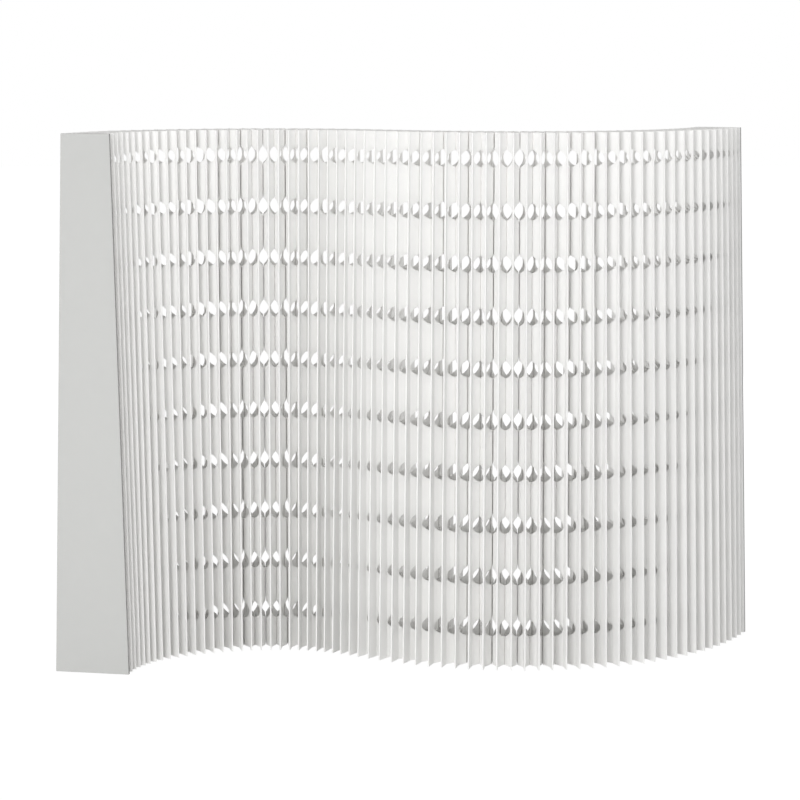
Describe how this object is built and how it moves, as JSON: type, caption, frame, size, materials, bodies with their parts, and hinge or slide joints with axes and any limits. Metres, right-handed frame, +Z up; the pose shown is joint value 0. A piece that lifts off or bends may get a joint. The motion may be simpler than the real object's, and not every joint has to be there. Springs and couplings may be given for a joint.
{
  "type": "pleated paper screen",
  "caption": "Free-standing S-shaped screen of white pleated honeycomb paper with rows of oval openings and a stiff board at each end.",
  "frame": {"origin": "middle of the bounding box, on the floor", "axes": "+Z up, the viewer of the front stands on the -Y side, +X to the viewer's right"},
  "size_m": [2.1248, 0.6294, 1.6],
  "materials": {
    "paper": "matte",
    "board": "matte"
  },
  "bodies": {
    "middle": {"cells_middle": "paper"},
    "left_01": {"cells_left_01": "paper"},
    "left_02": {"cells_left_02": "paper"},
    "left_03": {"cells_left_03": "paper"},
    "left_04": {"cells_left_04": "paper"},
    "left_05": {"cells_left_05": "paper"},
    "left_06": {"cells_left_06": "paper"},
    "left_07": {"cells_left_07": "paper"},
    "left_08": {"cells_left_08": "paper"},
    "left_09": {"cells_left_09": "paper"},
    "left_10": {"cells_left_10": "paper"},
    "left_11": {"cells_left_11": "paper"},
    "left_12": {"cells_left_12": "paper"},
    "left_13": {"cells_left_13": "paper"},
    "left_14": {"cells_left_14": "paper"},
    "left_15": {"cells_left_15": "paper"},
    "left_end": {"end_cell_left": "paper", "board_left": "board"},
    "right_01": {"cells_right_01": "paper"},
    "right_02": {"cells_right_02": "paper"},
    "right_03": {"cells_right_03": "paper"},
    "right_04": {"cells_right_04": "paper"},
    "right_05": {"cells_right_05": "paper"},
    "right_06": {"cells_right_06": "paper"},
    "right_07": {"cells_right_07": "paper"},
    "right_08": {"cells_right_08": "paper"},
    "right_09": {"cells_right_09": "paper"},
    "right_10": {"cells_right_10": "paper"},
    "right_11": {"cells_right_11": "paper"},
    "right_12": {"cells_right_12": "paper"},
    "right_13": {"cells_right_13": "paper"},
    "right_14": {"cells_right_14": "paper"},
    "right_15": {"cells_right_15": "paper"},
    "right_end": {"end_cell_right": "paper", "board_right": "board"}
  },
  "joints": [
    {"name": "bend_left_01", "type": "hinge", "parent": "middle", "child": "left_01", "pos_m": [-0.05694, -0.03878, 0], "axis": [0, 0, 1], "range_deg": [-4, 4]},
    {"name": "bend_left_02", "type": "hinge", "parent": "left_01", "child": "left_02", "pos_m": [-0.11706, 0.0012, 0], "axis": [0, 0, 1], "range_deg": [-4, 4]},
    {"name": "bend_left_03", "type": "hinge", "parent": "left_02", "child": "left_03", "pos_m": [-0.17839, 0.03925, 0], "axis": [0, 0, 1], "range_deg": [-4, 4]},
    {"name": "bend_left_04", "type": "hinge", "parent": "left_03", "child": "left_04", "pos_m": [-0.24399, 0.06927, 0], "axis": [0, 0, 1], "range_deg": [-4, 4]},
    {"name": "bend_left_05", "type": "hinge", "parent": "left_04", "child": "left_05", "pos_m": [-0.31351, 0.08857, 0], "axis": [0, 0, 1], "range_deg": [-4, 4]},
    {"name": "bend_left_06", "type": "hinge", "parent": "left_05", "child": "left_06", "pos_m": [-0.38513, 0.09737, 0], "axis": [0, 0, 1], "range_deg": [-4, 4]},
    {"name": "bend_left_07", "type": "hinge", "parent": "left_06", "child": "left_07", "pos_m": [-0.45729, 0.09675, 0], "axis": [0, 0, 1], "range_deg": [-4, 4]},
    {"name": "bend_left_08", "type": "hinge", "parent": "left_07", "child": "left_08", "pos_m": [-0.52887, 0.08753, 0], "axis": [0, 0, 1], "range_deg": [-4, 4]},
    {"name": "bend_left_09", "type": "hinge", "parent": "left_08", "child": "left_09", "pos_m": [-0.59888, 0.07, 0], "axis": [0, 0, 1], "range_deg": [-4, 4]},
    {"name": "bend_left_10", "type": "hinge", "parent": "left_09", "child": "left_10", "pos_m": [-0.6664, 0.04454, 0], "axis": [0, 0, 1], "range_deg": [-4, 4]},
    {"name": "bend_left_11", "type": "hinge", "parent": "left_10", "child": "left_11", "pos_m": [-0.73064, 0.01163, 0], "axis": [0, 0, 1], "range_deg": [-4, 4]},
    {"name": "bend_left_12", "type": "hinge", "parent": "left_11", "child": "left_12", "pos_m": [-0.79077, -0.02828, 0], "axis": [0, 0, 1], "range_deg": [-4, 4]},
    {"name": "bend_left_13", "type": "hinge", "parent": "left_12", "child": "left_13", "pos_m": [-0.84519, -0.07566, 0], "axis": [0, 0, 1], "range_deg": [-4, 4]},
    {"name": "bend_left_14", "type": "hinge", "parent": "left_13", "child": "left_14", "pos_m": [-0.89085, -0.1315, 0], "axis": [0, 0, 1], "range_deg": [-4, 4]},
    {"name": "bend_left_15", "type": "hinge", "parent": "left_14", "child": "left_15", "pos_m": [-0.92479, -0.19512, 0], "axis": [0, 0, 1], "range_deg": [-4, 4]},
    {"name": "bend_left_16", "type": "hinge", "parent": "left_15", "child": "left_end", "pos_m": [-0.94627, -0.26399, 0], "axis": [0, 0, 1], "range_deg": [-4, 4]},
    {"name": "bend_right_01", "type": "hinge", "parent": "middle", "child": "right_01", "pos_m": [0.03781, -0.09109, 0], "axis": [0, 0, 1], "range_deg": [-4, 4]},
    {"name": "bend_right_02", "type": "hinge", "parent": "right_01", "child": "right_02", "pos_m": [0.10455, -0.11856, 0], "axis": [0, 0, 1], "range_deg": [-4, 4]},
    {"name": "bend_right_03", "type": "hinge", "parent": "right_02", "child": "right_03", "pos_m": [0.1737, -0.13926, 0], "axis": [0, 0, 1], "range_deg": [-4, 4]},
    {"name": "bend_right_04", "type": "hinge", "parent": "right_03", "child": "right_04", "pos_m": [0.24466, -0.15242, 0], "axis": [0, 0, 1], "range_deg": [-4, 4]},
    {"name": "bend_right_05", "type": "hinge", "parent": "right_04", "child": "right_05", "pos_m": [0.31664, -0.1577, 0], "axis": [0, 0, 1], "range_deg": [-4, 4]},
    {"name": "bend_right_06", "type": "hinge", "parent": "right_05", "child": "right_06", "pos_m": [0.38877, -0.15522, 0], "axis": [0, 0, 1], "range_deg": [-4, 4]},
    {"name": "bend_right_07", "type": "hinge", "parent": "right_06", "child": "right_07", "pos_m": [0.46027, -0.14533, 0], "axis": [0, 0, 1], "range_deg": [-4, 4]},
    {"name": "bend_right_08", "type": "hinge", "parent": "right_07", "child": "right_08", "pos_m": [0.53041, -0.12834, 0], "axis": [0, 0, 1], "range_deg": [-4, 4]},
    {"name": "bend_right_09", "type": "hinge", "parent": "right_08", "child": "right_09", "pos_m": [0.59849, -0.10434, 0], "axis": [0, 0, 1], "range_deg": [-4, 4]},
    {"name": "bend_right_10", "type": "hinge", "parent": "right_09", "child": "right_10", "pos_m": [0.66361, -0.07324, 0], "axis": [0, 0, 1], "range_deg": [-4, 4]},
    {"name": "bend_right_11", "type": "hinge", "parent": "right_10", "child": "right_11", "pos_m": [0.72482, -0.03499, 0], "axis": [0, 0, 1], "range_deg": [-4, 4]},
    {"name": "bend_right_12", "type": "hinge", "parent": "right_11", "child": "right_12", "pos_m": [0.7812, 0.01005, 0], "axis": [0, 0, 1], "range_deg": [-4, 4]},
    {"name": "bend_right_13", "type": "hinge", "parent": "right_12", "child": "right_13", "pos_m": [0.83208, 0.06124, 0], "axis": [0, 0, 1], "range_deg": [-4, 4]},
    {"name": "bend_right_14", "type": "hinge", "parent": "right_13", "child": "right_14", "pos_m": [0.8769, 0.11781, 0], "axis": [0, 0, 1], "range_deg": [-4, 4]},
    {"name": "bend_right_15", "type": "hinge", "parent": "right_14", "child": "right_15", "pos_m": [0.91521, 0.17897, 0], "axis": [0, 0, 1], "range_deg": [-4, 4]},
    {"name": "bend_right_16", "type": "hinge", "parent": "right_15", "child": "right_end", "pos_m": [0.94701, 0.24378, 0], "axis": [0, 0, 1], "range_deg": [-4, 4]}
  ]
}
